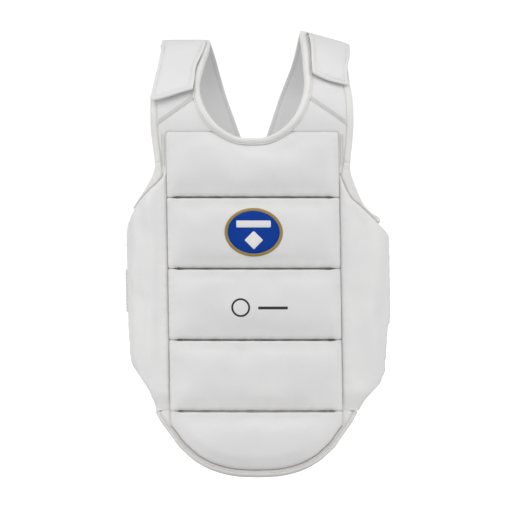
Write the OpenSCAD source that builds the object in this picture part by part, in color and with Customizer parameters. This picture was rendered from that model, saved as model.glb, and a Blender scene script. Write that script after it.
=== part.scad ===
// Chest protector for striking sports, in the shape it takes when worn: a padded front, two side
// wings, shoulder straps that cross over the back, and an elastic waist belt.
// X is the width, -Y is the front, and Z is up from the lowest point of the hem.

/* [Front panel] */
// Width between the two vertical side seams
panel_w = 226; // [215:1:235]
// Radius of the panel's curve around the chest, at the crown of the pads
panel_r = 300; // [285:5:330]
// Distance from the torso axis to the crown of the pads
front_depth = 116; // [112:1:120]
// Thickness from the inside of the lining to the crown of a pad
pad_t = 20; // [18:1:22]
// Height of each of the three full chest pads
pad_h = 91; // [88:1:93]
// Height of the seam that the lowest pad hangs from
tongue_z = 84; // [80:1:88]
// Width of the bound band around the rounded hem
hem_band = 9; // [8:1:10]

/* [Side wings] */
// Radius of a wing's curve around the ribs
wing_r = 101; // [98:1:104]
// Angle around the body at which a wing ends, from straight ahead
wing_end = 70; // [68:1:72]

/* [Shoulders] */
// Height at which the shoulders start to lean back
shoulder_z = 447; // [444:1:450]
// Radius of the curve over the front of a shoulder
shoulder_r = 112; // [110:1:114]
// Distance behind the torso axis at which the straps fold over the shoulders
shoulder_back = 22; // [18:1:26]
// Width of a back strap
strap_w = 57; // [50:1:60]

/* [Waist belt] */
// Height of the belt's middle
belt_z = 230; // [225:1:235]
// Width of the belt's elastic webbing
belt_h = 55; // [45:1:60]

/* [Materials] */
// Thickness of the synthetic leather covers
skin = 2; // [1.5:0.5:2.5]
// Thickness of the lining
lining_t = 3; // [2:0.5:3]
// Thickness of straps, flaps and elastic
web_t = 3; // [2:0.5:3]
// Thickness of one half of a hook-and-loop fastening
loop_t = 1.2; // [1:0.1:1.4]
// Width of the binding tape on the neck and armholes
tape_w = 8; // [7:1:9]

/* [Hidden] */
$fn = 180;
reach = 400;
seam_gap = 3;
crease = 7;
joint_gap = 0.3;
panel_y = panel_r - front_depth;
back_of_pad = pad_t - lining_t;

// Side seam: its angle, and its point on the pads' crown
seam_a = asin(panel_w / 2 / panel_r);
seam_point = [panel_w / 2, panel_y - panel_r * cos(seam_a)];

// Wing curve, tangent to the panel at the seam
wing_x = panel_w / 2 - wing_r * sin(seam_a);
wing_y = seam_point[1] + wing_r * cos(seam_a);
wing_turn = (seam_a + wing_end) / 2;
wing_half = wing_r * sin(wing_end - wing_turn);
wing_tape = 6;

// Shoulder curve, tangent to the thin padding beside the neck at the middle of the strap
yoke_depth = 9;
shoulder_x = 90;
shoulder_turn = asin(shoulder_x / (panel_r - yoke_depth));
shoulder_axis = [
    shoulder_x - shoulder_r * sin(shoulder_turn),
    panel_y - (panel_r - yoke_depth - shoulder_r) * cos(shoulder_turn)
];
flap_out = 2 * loop_t + joint_gap;
strap_top = shoulder_z + shoulder_r + flap_out + web_t;

// Chest pads: the heights of the five seams between which they lie
pad_1_top = 441;
pad_seams = [pad_1_top, tongue_z + 3 * pad_h, tongue_z + 2 * pad_h, tongue_z + pad_h, tongue_z, -reach];
pad_round = 7;
// Right half of the hem's outer edge, from the bottom up
hem_points = [
    [0, 0], [30, 1.6], [57, 8.3], [77.4, 18.6], [90, 28.8], [100.5, 39], [108, 49.3], [115.8, 59.5],
    [122, 69.8], [127, 79], [129.5, 84]
];

// Half of the widest part of the front panel, at the foot of the armholes
front_half_w = 135;
// Right half of the neckline, and of the armhole and strap's outer edge, from the bottom up
neck_points = [
    [0, 432], [20, 434], [42, 446], [57, 463], [66, 484], [69, 505], [65, 531], [60, 553], [58, 600]
];
arm_points = [
    [127, 330], [126, 385], [125, 405], [127.5, 427], [129.5, 450], [129, 482], [125, 506],
    [121, 530], [120, 555], [120, 600]
];
// Wing outline in the plane that faces the middle of the wing
wing_top_points = [
    [-60, 417], [-39, 392], [-19, 368], [3, 345], [21, 329], [32, 317], [wing_half, 297]
];
wing_bottom_points = [
    [wing_half, 168], [36, 157], [27, 146], [14, 128], [-2, 112], [-13, 100], [-22, 88], [-60, 88]
];
// Seam from the armhole to the neck, between the yoke and the shoulder panel
yoke_seam = [[140, 435.6], [0, 535.2]];

// Flap outlines, from the top outer corner down and back up; the left one is fastened lower
flap_left_points = [
    [119, 600], [120, 560], [122, 527], [133, 486], [79, 500], [75, 527], [65, 553], [62, 600]
];
flap_right_points = [
    [122, 600], [122, 556], [119, 531], [121, 501], [72, 518], [69, 545], [66, 565], [64, 600]
];

// Back straps: where their middle lies over the shoulder and at the belt
strap_top_x = 89;
strap_end_x = -26;
strap_slope = atan((strap_top_x - strap_end_x) / (strap_top - belt_z));
strap_depth = 110;

// Right half of the belt's middle line, from the end of the tab round to the back
tab_r = wing_r - pad_t - flap_out - web_t;
tab_start = 34;
tab_end = 69;
tab_r_mid = tab_r + web_t / 2;
belt_points = [
    [wing_x + tab_r_mid * sin(tab_end + 0.4), wing_y - tab_r_mid * cos(tab_end + 0.4)],
    [150.5, -14], [157, 2], [166, 22], [169.5, 42], [164, 66], [146, 84], [116, 95], [80, 100],
    [40, 101.9], [0, 101.9]
];

// Emblem on the second pad, and the printed mark on the third
emblem_w = 74;
emblem_h = 62;
emblem_z = tongue_z + 2.5 * pad_h + 1;
rim_w = 3.5;
print_z = tongue_z + 1.5 * pad_h - 4;

// --- Curves ---

function spline(a, b, c, d, t) =
    0.5 * (2 * b + (c - a) * t + (2 * a - 5 * b + 4 * c - d) * t * t + (3 * b - a - 3 * c + d) * t * t * t);

// Smooth line through the open row of points p, with n steps from each point to the next
function smooth(p, n = 4) = [
    for (i = [0 : len(p) - 2], k = [0 : n - 1])
        spline(p[max(i - 1, 0)], p[i], p[i + 1], p[min(i + 2, len(p) - 1)], k / n),
    p[len(p) - 1]
];

function reversed(p) = [for (i = [len(p) - 1 : -1 : 0]) p[i]];
function flipped(p) = [for (q = reversed(p)) [-q[0], q[1]]];
function unit(v) = v / norm(v);
function normal(a, b) = let (u = unit(b - a)) [-u[1], u[0]];

// Counter-clockwise outline p moved inwards by d, with mitred corners
function inset(p, d) = [
    for (i = [0 : len(p) - 1])
        let (
            before = normal(p[(i + len(p) - 1) % len(p)], p[i]),
            after = normal(p[i], p[(i + 1) % len(p)])
        )
        p[i] + d * (before + after) / (1 + before * after)
];

// Point i of the open line p, moved sideways by d
function beside(p, i, d) = let (
    first = max(i - 1, 0),
    last = min(i + 1, len(p) - 1)
) p[i] + d * normal(p[first], p[last]);

// Band of width w along the open line p
function band(p, w) = concat(
    [for (i = [0 : len(p) - 1]) beside(p, i, w / 2)],
    [for (i = [len(p) - 1 : -1 : 0]) beside(p, i, -w / 2)]
);

neck_half = smooth(neck_points);
neck_outline = concat(neck_half, [for (q = flipped(neck_half)) if (q[0] < 0) q]);
arm_outline = concat([[reach, 330], [reach, 600]], reversed(smooth(arm_points)));
hem_half = smooth(hem_points);
hem_end = hem_points[len(hem_points) - 1];
hem_outline = concat(
    hem_half, [hem_end + [0, 40], [-hem_end[0], hem_end[1] + 40]], [for (q = flipped(hem_half)) if (q[0] < 0) q]
);
wing_shape = concat(reversed(smooth(wing_bottom_points)), reversed(smooth(wing_top_points)));
belt_half = smooth(belt_points, 6);
belt_line = concat(belt_half, [for (q = flipped(belt_half)) if (q[0] < 0) q]);

// --- Placing ---

module on_side(side) {
    mirror([side < 0 ? 1 : 0, 0, 0]) children();
}

// Prism from a plan view
module upright(low, high) {
    translate([0, 0, low]) linear_extrude(high - low) children();
}

// Prism from a front view, running from front to back
module through() {
    translate([0, reach, 0]) rotate([90, 0, 0]) linear_extrude(2 * reach) children();
}

// Prism from a side view, where the drawing's x is the model's y
module across(width) {
    rotate([90, 0, 90]) linear_extrude(width, center = true) children();
}

module ring(outer, inner) {
    difference() {
        circle(outer);
        circle(inner);
    }
}

// --- Front panel ---

// Sheet that bends around the chest, between two depths under the pads' crown
module panel_sheet(near, far, low, high) {
    upright(low, high) intersection() {
        translate([0, panel_y]) ring(panel_r - near, panel_r - far);
        translate([-reach / 2, -reach]) square([reach, reach - 20]);
    }
}

// Plan of the slot and crease that are kept clear at a side seam
module seam_slot(extra) {
    translate(seam_point) rotate(seam_a) {
        translate([-seam_gap / 2 - extra, -1]) square([seam_gap + 2 * extra, pad_t + 2]);
        circle(crease + 1.5 * extra, $fn = 4);
    }
}

module seam_slots(extra) {
    for (side = [-1, 1]) on_side(side) upright(-1, 460) seam_slot(extra);
}

// Everything beyond a side seam, in plan
module beyond_seam(gap) {
    translate(seam_point) rotate(seam_a) translate([gap, -60]) square([200, 160]);
}

// Prism of a drawing that faces the middle of a wing
module wing_prism() {
    translate([wing_x, wing_y, 0]) rotate([0, 0, wing_turn]) through() children();
}

// Space kept clear in the front panel for both wings: all that lies beyond the seams, below the
// wings' top edges
module wing_rooms() {
    top_edge = [for (q = smooth(wing_top_points)) q + [0, 3 * seam_gap]];
    for (side = [-1, 1]) on_side(side) intersection() {
        upright(-1, 460) beyond_seam(-seam_gap / 2);
        wing_prism() polygon(concat(top_edge, [[reach, 0], [-60, 0]]));
    }
}

// Sheet over a shoulder, between two depths under the face of the shoulder panel
module shoulder_sheet(near, far) {
    intersection() {
        translate([shoulder_axis[0], shoulder_axis[1], shoulder_z]) rotate([0, 0, shoulder_turn])
            across(200) intersection() {
                ring(shoulder_r - near, shoulder_r - far);
                translate([-reach, 0]) square([reach + 60, reach]);
            }
        translate([0, shoulder_back - reach, shoulder_z]) cube([reach, reach, reach]);
    }
}

// Thin sheet of the upper front: upright below the shoulders, then leaning back over them
module upper_sheet(near, far) {
    panel_sheet(yoke_depth + near, yoke_depth + far, 350, shoulder_z);
    for (side = [-1, 1]) on_side(side) shoulder_sheet(near, far);
}

// Front view of the front panel inside the neck and armhole bindings
module inside_bindings() {
    difference() {
        translate([-front_half_w, 0]) square([2 * front_half_w, reach + 200]);
        polygon(inset(neck_outline, -tape_w));
        for (side = [-1, 1]) mirror([side < 0 ? 1 : 0, 0]) polygon(inset(arm_outline, -tape_w));
    }
}

module front_lining() {
    color("gainsboro") difference() {
        intersection() {
            union() {
                panel_sheet(back_of_pad, pad_t, tongue_z + seam_gap / 2, shoulder_z);
                for (side = [-1, 1]) on_side(side)
                    shoulder_sheet(back_of_pad - yoke_depth, pad_t - yoke_depth);
            }
            through() inside_bindings();
        }
        wing_rooms();
    }
}

// Side view of a pad, from the lining to the crown; rounded at the front
module pad_profile(low, high, inward, back) {
    rounding = pad_round - inward;
    depth = back_of_pad - inward - rounding;
    translate([panel_r - back_of_pad - back, low + inward])
        square([depth + back, high - low - 2 * inward]);
    translate([panel_r - back_of_pad, low + inward + rounding])
        square([back_of_pad - inward, high - low - 2 * inward - 2 * rounding]);
    for (z = [low + inward + rounding, high - inward - rounding])
        translate([panel_r - back_of_pad + depth, z]) circle(rounding, $fn = 48);
}

// Bar with that side view, bent around the chest
module pad_bar(low, high, inward, back) {
    translate([0, panel_y, 0]) rotate([0, 0, -90 - seam_a])
        rotate_extrude(angle = 2 * seam_a) pad_profile(low, high, inward, back);
}

// Solid of chest pad i, or of its foam when inward is the skin's thickness
module chest_pad(i, inward, back) {
    difference() {
        pad_bar(pad_seams[i] + seam_gap / 2, pad_seams[i - 1] - seam_gap / 2, inward, back);
        seam_slots(inward);
        if (i == 1) through() polygon(inset(neck_outline, -tape_w - inward));
    }
}

module chest_cover(i) {
    color("white") difference() {
        chest_pad(i, 0, 0);
        chest_pad(i, skin, 1);
    }
}

module chest_foam(i) {
    color("lightyellow") chest_pad(i, skin, 0);
}

// Thin padding beside and above the first pad, up to the shoulder panel
module yoke(side) {
    color("whitesmoke") on_side(side) difference() {
        intersection() {
            upper_sheet(0, back_of_pad - yoke_depth);
            through() intersection() {
                inside_bindings();
                polygon([[0, 380], [140, 380], yoke_seam[0], yoke_seam[1]]);
            }
        }
        through() square([panel_w / 2 + seam_gap, pad_1_top]);
        wing_rooms();
    }
}

module shoulder_panel(side) {
    color("white") on_side(side) intersection() {
        shoulder_sheet(0, back_of_pad - yoke_depth);
        through() intersection() {
            inside_bindings();
            polygon([yoke_seam[0], [140, 600], [0, 600], yoke_seam[1]]);
        }
    }
}

module shoulder_loop(side) {
    color("silver") on_side(side) intersection() {
        shoulder_sheet(-loop_t, 0);
        through() polygon([[80, 525], [113, 510], [111, 600], [77, 600]]);
    }
}

module neck_binding() {
    color("whitesmoke") intersection() {
        upper_sheet(-1, pad_t - yoke_depth);
        through() difference() {
            polygon(inset(neck_outline, -tape_w));
            polygon(neck_outline);
        }
    }
}

module armhole_binding(side) {
    color("whitesmoke") on_side(side) difference() {
        intersection() {
            upper_sheet(-1, pad_t - yoke_depth);
            through() difference() {
                polygon(inset(arm_outline, -tape_w));
                polygon(arm_outline);
            }
        }
        wing_rooms();
    }
}

// --- Emblem and print ---

function oval(w, h) = [for (a = [0 : 7.5 : 352.5]) [w / 2 * cos(a), h / 2 * sin(a)]];

module emblem_part(near, far, height) {
    intersection() {
        panel_sheet(-far, -near, height - 60, height + 60);
        through() translate([0, height]) children();
    }
}

module emblem_field() {
    color("mediumblue") emblem_part(0, 0.8, emblem_z)
        polygon(oval(emblem_w - 2 * rim_w, emblem_h - 2 * rim_w));
}

module emblem_rim() {
    color("goldenrod") emblem_part(0, 1.2, emblem_z) difference() {
        polygon(oval(emblem_w, emblem_h));
        polygon(oval(emblem_w - 2 * rim_w, emblem_h - 2 * rim_w));
    }
}

// Plain bar over a plain diamond
module emblem_mark() {
    color("white") emblem_part(0.8, 1.2, emblem_z) {
        translate([-22, 6]) square([44, 9]);
        translate([0, -10]) circle(12, $fn = 4);
    }
}

// Plain ring beside a plain dash
module printed_mark() {
    color("black") emblem_part(0, 0.3, print_z) {
        translate([-18, 0]) ring(12, 9.5);
        translate([4, -2.5]) square([38, 4]);
    }
}

// --- Tongue: the lowest pad and the rounded hem ---

module tongue_outline(inward) {
    intersection() {
        polygon(inset(hem_outline, hem_band + inward));
        translate([-panel_w / 2 + inward, -50]) square([panel_w - 2 * inward, 50 + tongue_z - seam_gap / 2]);
    }
}

module tongue_pad(inward, back) {
    intersection() {
        pad_bar(-2 * pad_round, tongue_z - seam_gap / 2, inward, back);
        through() tongue_outline(inward);
    }
}

module tongue_cover() {
    color("white") difference() {
        tongue_pad(0, 0);
        tongue_pad(skin, 1);
    }
}

module tongue_foam() {
    color("lightyellow") tongue_pad(skin, 0);
}

module tongue_lining() {
    color("gainsboro") intersection() {
        panel_sheet(back_of_pad, pad_t, -1, tongue_z - seam_gap / 2);
        through() tongue_outline(0);
    }
}

module hem_binding() {
    color("whitesmoke") intersection() {
        panel_sheet(crease, pad_t, -1, tongue_z - seam_gap / 2);
        through() difference() {
            polygon(hem_outline);
            tongue_outline(0);
        }
    }
}

// --- Wings ---

// Sheet that bends around the ribs, between two depths under the wing's crown
module wing_sheet(near, far) {
    upright(60, 460) intersection() {
        translate([wing_x, wing_y]) ring(wing_r - near, wing_r - far);
        beyond_seam(0);
    }
}

// Wing solid between two depths, with its outline moved inwards
module wing_slab(near, far, inward, from_seam) {
    difference() {
        intersection() {
            wing_sheet(near, far);
            wing_prism() polygon(inset(wing_shape, inward));
        }
        upright(0, 460) seam_slot(from_seam);
    }
}

module wing_cover(side) {
    color("white") on_side(side) difference() {
        wing_slab(0, back_of_pad, wing_tape, 0);
        wing_slab(skin, back_of_pad + 1, wing_tape + skin, skin);
    }
}

module wing_foam(side) {
    color("lightyellow") on_side(side) wing_slab(skin, back_of_pad, wing_tape + skin, skin);
}

module wing_lining(side) {
    color("gainsboro") on_side(side) wing_slab(back_of_pad, pad_t, wing_tape, 0);
}

module wing_binding(side) {
    color("whitesmoke") on_side(side) difference() {
        wing_slab(crease, pad_t, 0, 0);
        wing_prism() polygon(inset(wing_shape, wing_tape));
    }
}

// Plan between two angles around a wing's centre
module wing_sector(from, to) {
    middle = (from + to) / 2;
    translate([wing_x, wing_y])
        polygon([[0, 0], for (a = [from, middle, to]) reach * [sin(a), -cos(a)]]);
}

// Patch inside a wing, between two radii and two angles, as high as the belt
module inner_patch(inner, outer, from, to, height) {
    upright(belt_z - height / 2, belt_z + height / 2) intersection() {
        translate([wing_x, wing_y]) ring(outer, inner);
        wing_sector(from, to);
    }
}

module wing_loop(side) {
    color("silver") on_side(side)
        inner_patch(wing_r - pad_t - loop_t, wing_r - pad_t, tab_start, tab_end, belt_h + 10);
}

// --- Straps and belt ---

module flap(side, points) {
    color("white") on_side(side) intersection() {
        shoulder_sheet(-flap_out - web_t, -flap_out);
        through() polygon(points);
    }
}

module flap_hook(side) {
    color("dimgray") on_side(side) intersection() {
        shoulder_sheet(-flap_out, -loop_t - joint_gap);
        through() polygon([[84, 522], [112, 512], [110, 550], [80, 550]]);
    }
}

// Side view of a back strap: over the shoulder and straight down the back
module strap_profile(depth) {
    turn_r = depth - shoulder_back;
    turn_z = strap_top - turn_r;
    intersection() {
        translate([shoulder_back, turn_z]) ring(turn_r, turn_r - web_t);
        translate([shoulder_back + joint_gap, turn_z]) square(turn_r + 1);
    }
    translate([depth - web_t, belt_z - belt_h / 2]) square([web_t, turn_z - belt_z + belt_h / 2]);
}

module back_strap(side, layer) {
    color("white") on_side(side) intersection() {
        across(2 * reach) strap_profile(strap_depth - layer * (web_t + joint_gap));
        through() translate([strap_end_x, belt_z]) rotate(-strap_slope)
            translate([-strap_w / 2, -belt_h]) square([strap_w, reach + belt_h]);
    }
}

module waist_belt() {
    color("whitesmoke") upright(belt_z - belt_h / 2, belt_z + belt_h / 2) polygon(band(belt_line, web_t));
}

// Backing patch that carries the outer strap's end on the belt
module belt_anchor() {
    low = belt_z - belt_h / 2;
    inner_strap = strap_depth - web_t;
    color("whitesmoke") translate([0, inner_strap, 0]) rotate([90, 0, 0])
        linear_extrude(web_t + joint_gap)
            polygon([[11, low], [58, low], [58, low + belt_h], [30, low + belt_h]]);
}

module belt_tab(side) {
    color("whitesmoke") on_side(side) inner_patch(tab_r, tab_r + web_t, tab_start, tab_end, belt_h);
}

module belt_hook(side) {
    color("dimgray") on_side(side)
        inner_patch(tab_r + web_t, tab_r + web_t + loop_t, tab_start + 3, tab_end - 8, belt_h - 6);
}

front_lining();
chest_cover(1);  // chest_cover_1
chest_cover(2);  // chest_cover_2
chest_cover(3);  // chest_cover_3
chest_cover(4);  // chest_cover_4
chest_foam(1);  // chest_foam_1
chest_foam(2);  // chest_foam_2
chest_foam(3);  // chest_foam_3
chest_foam(4);  // chest_foam_4
yoke(-1);  // yoke_left
yoke(1);  // yoke_right
shoulder_panel(-1);  // shoulder_panel_left
shoulder_panel(1);  // shoulder_panel_right
shoulder_loop(-1);  // shoulder_loop_left
shoulder_loop(1);  // shoulder_loop_right
neck_binding();
armhole_binding(-1);  // armhole_binding_left
armhole_binding(1);  // armhole_binding_right
emblem_field();
emblem_rim();
emblem_mark();
printed_mark();
tongue_cover();
tongue_foam();
tongue_lining();
hem_binding();
wing_cover(-1);  // wing_cover_left
wing_cover(1);  // wing_cover_right
wing_foam(-1);  // wing_foam_left
wing_foam(1);  // wing_foam_right
wing_lining(-1);  // wing_lining_left
wing_lining(1);  // wing_lining_right
wing_binding(-1);  // wing_binding_left
wing_binding(1);  // wing_binding_right
wing_loop(-1);  // wing_loop_left
wing_loop(1);  // wing_loop_right
flap(-1, flap_left_points);  // flap_left
flap(1, flap_right_points);  // flap_right
flap_hook(-1);  // flap_hook_left
flap_hook(1);  // flap_hook_right
back_strap(-1, 0);  // back_strap_left
back_strap(1, 1);  // back_strap_right
waist_belt();
belt_anchor();
belt_tab(-1);  // belt_tab_left
belt_tab(1);  // belt_tab_right
belt_hook(-1);  // belt_hook_left
belt_hook(1);  // belt_hook_right
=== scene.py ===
import math

import bmesh
import bpy
import numpy as np
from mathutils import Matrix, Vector
from mathutils.bvhtree import BVHTree
from mathutils.geometry import delaunay_2d_cdt


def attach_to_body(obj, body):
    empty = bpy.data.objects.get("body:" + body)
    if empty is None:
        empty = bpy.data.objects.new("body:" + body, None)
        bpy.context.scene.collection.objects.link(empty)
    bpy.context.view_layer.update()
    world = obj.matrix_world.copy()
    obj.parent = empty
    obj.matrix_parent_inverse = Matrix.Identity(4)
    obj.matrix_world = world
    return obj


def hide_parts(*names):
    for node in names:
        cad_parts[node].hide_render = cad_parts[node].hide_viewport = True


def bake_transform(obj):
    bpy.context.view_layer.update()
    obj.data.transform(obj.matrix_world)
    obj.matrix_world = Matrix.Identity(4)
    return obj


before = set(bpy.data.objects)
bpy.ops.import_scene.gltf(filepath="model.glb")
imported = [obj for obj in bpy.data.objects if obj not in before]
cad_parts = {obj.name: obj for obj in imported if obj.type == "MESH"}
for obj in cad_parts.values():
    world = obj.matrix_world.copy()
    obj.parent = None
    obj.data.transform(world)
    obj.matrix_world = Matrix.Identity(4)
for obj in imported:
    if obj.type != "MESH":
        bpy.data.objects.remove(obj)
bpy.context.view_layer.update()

# All shapes are worked out in millimetres and made in metres.
MM = 0.001
SIDES = {"left": -1, "right": 1}

# ---- The curves of the CAD model, in millimetres ----
PANEL_R = 300.0
PANEL_Y = 184.0
SEAM_X = 113.0
SEAM_A = math.asin(SEAM_X / PANEL_R)
SEAM_Y = PANEL_Y - PANEL_R * math.cos(SEAM_A)
PAD_BACK = 17.0
PAD_T = 20.0
SEAMS = [441.0, 357.0, 266.0, 175.0, 84.0]
HEM_BAND = 9.0

WING_R = 101.0
WING_X = SEAM_X - WING_R * math.sin(SEAM_A)
WING_Y = SEAM_Y + WING_R * math.cos(SEAM_A)
WING_TURN = (SEAM_A + math.radians(70)) / 2
WING_EDGE = WING_R * math.sin(math.radians(70) - WING_TURN)
WING_SEAM = -WING_EDGE

YOKE_DEPTH = 9.0
SHOULDER_Z = 447.0
SHOULDER_R = 112.0
SHOULDER_TURN = math.asin(90 / (PANEL_R - YOKE_DEPTH))
SHOULDER_X = 90 - SHOULDER_R * math.sin(SHOULDER_TURN)
SHOULDER_Y = PANEL_Y - (PANEL_R - YOKE_DEPTH - SHOULDER_R) * math.cos(SHOULDER_TURN)
HINGE_Y = 22.0
TAPE = 8.0
FLAP_OUT = 2.7
WEB = 3.0
STRAP_TOP = SHOULDER_Z + SHOULDER_R + FLAP_OUT + WEB

BELT_Z = 230.0
BELT_H = 55.0
STRAP_W = 57.0
STRAP_TAN = (89 + 26) / (STRAP_TOP - BELT_Z)
STRAP_COS = math.cos(math.atan(STRAP_TAN))

NECK = [(0, 432), (20, 434), (42, 446), (57, 463), (66, 484), (69, 505), (65, 531), (60, 553), (58, 559)]
ARM = [(125.5, 372), (126, 385), (125, 405), (127.5, 427), (129.5, 450), (129, 482), (125.5, 500),
       (122, 520), (117, 540), (114, 559)]
HEM = [(0, 0), (30, 1.6), (57, 8.3), (77.4, 18.6), (90, 28.8), (100.5, 39), (108, 49.3), (115.8, 59.5),
       (123.4, 69.8), (129.2, 79), (131.8, 84)]
# Edges of the wings seen from the front; the right one stands out further than the left
WING_TOP = {
    -1: [(112.5, 396), (121, 381), (135.1, 368), (146.1, 356.5), (153.5, 345), (159, 334), (163, 322),
         (164.4, 308), (164.4, 290)],
    1: [(112.8, 391), (126.1, 360.3), (141, 346.5), (163.6, 325), (172.6, 314.5), (176.6, 302), (178, 286)],
}
WING_BOTTOM = {
    -1: [(164.2, 190), (163.4, 172), (162.5, 152), (160, 141.4), (153.7, 131.2), (147.3, 121),
         (140.8, 110.7), (136.8, 100.5), (131.8, 84.6)],
    1: [(175, 205), (172, 182), (170, 152), (169, 140), (167.6, 131.2), (163.3, 121), (155, 110.7),
        (147, 100.5), (136, 84.6)],
}
# Outer edge of the tape that runs on from each armhole, behind the top of the wing
TAIL = {
    -1: [(125, 402), (128, 390), (132, 381), (136.5, 373), (142, 364), (149.3, 354), (156, 343)],
    1: [(125, 402), (126.6, 390), (129.2, 380), (133.6, 368.6), (142.4, 350), (152.6, 338.6), (161.2, 333.4),
        (164.2, 331), (165, 324)],
}
YOKE_SEAM = ((140, 435.6), (0, 535.2))

# How far each wing's outer edge stands from the CAD's, and how the belt and shoulders hang askew
WING_LEAN = {-1: -2.5, 1: 9.5}
BELT_TILT = -0.045
BELT_REACH = {-1: 0.972, 1: 1.018}
SLANT = 0.0156
SHOULDER_DROP = -4.0
SHOULDER_TILT = 0.28


# ---- Small sums ----
def soft_step(t):
    t = np.clip(t, 0, 1)
    return t * t * (3 - 2 * t)


def wave(x, seed, length):
    """Uneven ripple about 0, of about that wavelength"""
    k = 2 * math.pi / length
    two = np.sin(k * x + seed) + 0.7 * np.sin(1.618 * k * x + 2.3 * seed)
    return (two + 0.5 * np.sin(0.414 * k * x + 5.1 * seed)) / 2.2


def stack(x, y, z):
    return np.stack(np.broadcast_arrays(x, y, z), axis=-1).astype(float)


def arrays(*values):
    """The values as float arrays of one shape"""
    return (np.asarray(v, float) for v in np.broadcast_arrays(*values))


def smooth(points, n=6):
    """Catmull-Rom line through the points"""
    p = np.array(points, float)
    out = []
    for i in range(len(p) - 1):
        a, b, c, d = p[max(i - 1, 0)], p[i], p[i + 1], p[min(i + 2, len(p) - 1)]
        for k in range(n):
            t = k / n
            square, cube = (2 * a - 5 * b + 4 * c - d) * t**2, (3 * b - a - 3 * c + d) * t**3
            out.append(0.5 * (2 * b + (c - a) * t + square + cube))
    out.append(p[-1])
    return np.array(out)


def mirrored(path):
    """The same line on the other side, in the other direction"""
    return np.array(path)[::-1] * [-1, 1]


def resample(path, step, closed=False):
    p = np.array(path, float)
    if closed:
        p = np.vstack([p, p[:1]])
    length = np.concatenate([[0], np.cumsum(np.linalg.norm(np.diff(p, axis=0), axis=1))])
    count = max(int(round(length[-1] / step)), 2)
    at = np.linspace(0, length[-1], count + 1)
    if closed:
        at = at[:-1]
    return np.stack([np.interp(at, length, p[:, i]) for i in range(p.shape[1])], axis=1)


def normals(path, closed=False):
    """Unit vectors to the left of the line"""
    if closed:
        t = np.roll(path, -1, axis=0) - np.roll(path, 1, axis=0)
    else:
        t = np.gradient(path, axis=0)
    t = t / np.maximum(np.linalg.norm(t, axis=1, keepdims=True), 1e-9)
    return np.stack([-t[:, 1], t[:, 0]], axis=1)


def offset(path, d):
    path = np.array(path, float)
    return path + d * normals(path)


def distance(points, path, closed=True):
    a = np.array(path, float)
    b = np.roll(a, -1, axis=0) if closed else a[1:]
    a = a if closed else a[:-1]
    best = np.full(len(points), 1e9)
    for p, q in zip(a, b):
        v = q - p
        t = np.clip(((points - p) @ v) / max(v @ v, 1e-12), 0, 1)
        best = np.minimum(best, np.linalg.norm(points - p - t[:, None] * v, axis=1))
    return best


def inside(points, outline):
    x, y = points[:, 0], points[:, 1]
    hit = np.zeros(len(points), bool)
    for (x0, y0), (x1, y1) in zip(outline, np.roll(outline, -1, axis=0)):
        crosses = (y0 > y) != (y1 > y)
        hit ^= crosses & (x < (x1 - x0) * (y - y0) / (y1 - y0 if y1 != y0 else 1e-12) + x0)
    return hit


def box(left, right, low, high):
    return np.array([(left, low), (right, low), (right, high), (left, high)])


def area_of(outline):
    x, y = np.array(outline, float).T
    return abs(float(np.dot(x, np.roll(y, -1)) - np.dot(y, np.roll(x, -1)))) / 2


def size_of(outline):
    low, high = np.min(outline, axis=0), np.max(outline, axis=0)
    return tuple(float(v) * MM for v in high - low)


# ---- Where a flat drawing lies on the curved protector ----
def on_panel(x, z, out):
    """Front panel; out is the height over the pads' crown"""
    a = np.arcsin(np.clip(x / PANEL_R, -1, 1))
    r = PANEL_R + out
    return stack(r * np.sin(a), PANEL_Y - r * np.cos(a), z)


def wing_lean(side, x, out):
    """How far the wing's face stands out from the CAD's; its inner face stays where it is"""
    return WING_LEAN[side] * soft_step((x + 30) / 70) * (1 - soft_step((-out - 3) / 15))


def on_wing(side):
    """Wing; x is measured across the plane that faces its middle"""
    def place(x, z, out):
        a = WING_TURN + np.arcsin(np.clip(x / WING_R, -1, 1))
        r = WING_R + out + wing_lean(side, x, out)
        return stack(side * (WING_X + r * np.sin(a)), WING_Y - r * np.cos(a), z)
    return place


def slanted(p):
    """The whole hangs a little askew; the shoulders' own lean takes over above 480"""
    p = np.array(p, float)
    p[..., 0] += SLANT * (205 - p[..., 2]) * (1 - soft_step((p[..., 2] - 480) / 80))
    return p


def on_edge(side, points, out=-4.5):
    """Points seen from the front, as points of the flat wing at that height"""
    s = np.linspace(-70, 43.5, 400)
    x = WING_X + (WING_R + out + wing_lean(side, s, out)) * np.sin(WING_TURN + np.arcsin(s / WING_R))
    p = np.array(points, float)
    p[:, 0] = np.interp(p[:, 0], x, s)
    return p


def askew(p, height, fade=1.0):
    """The right shoulder leans in and the left sits a little lower, as the straps pull them"""
    t = soft_step((height - 500) / 60) * fade
    x = p[..., 0]
    p[..., 2] += t * np.where(x > 0, SHOULDER_TILT * (89 - x), SHOULDER_DROP)
    return p


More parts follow.
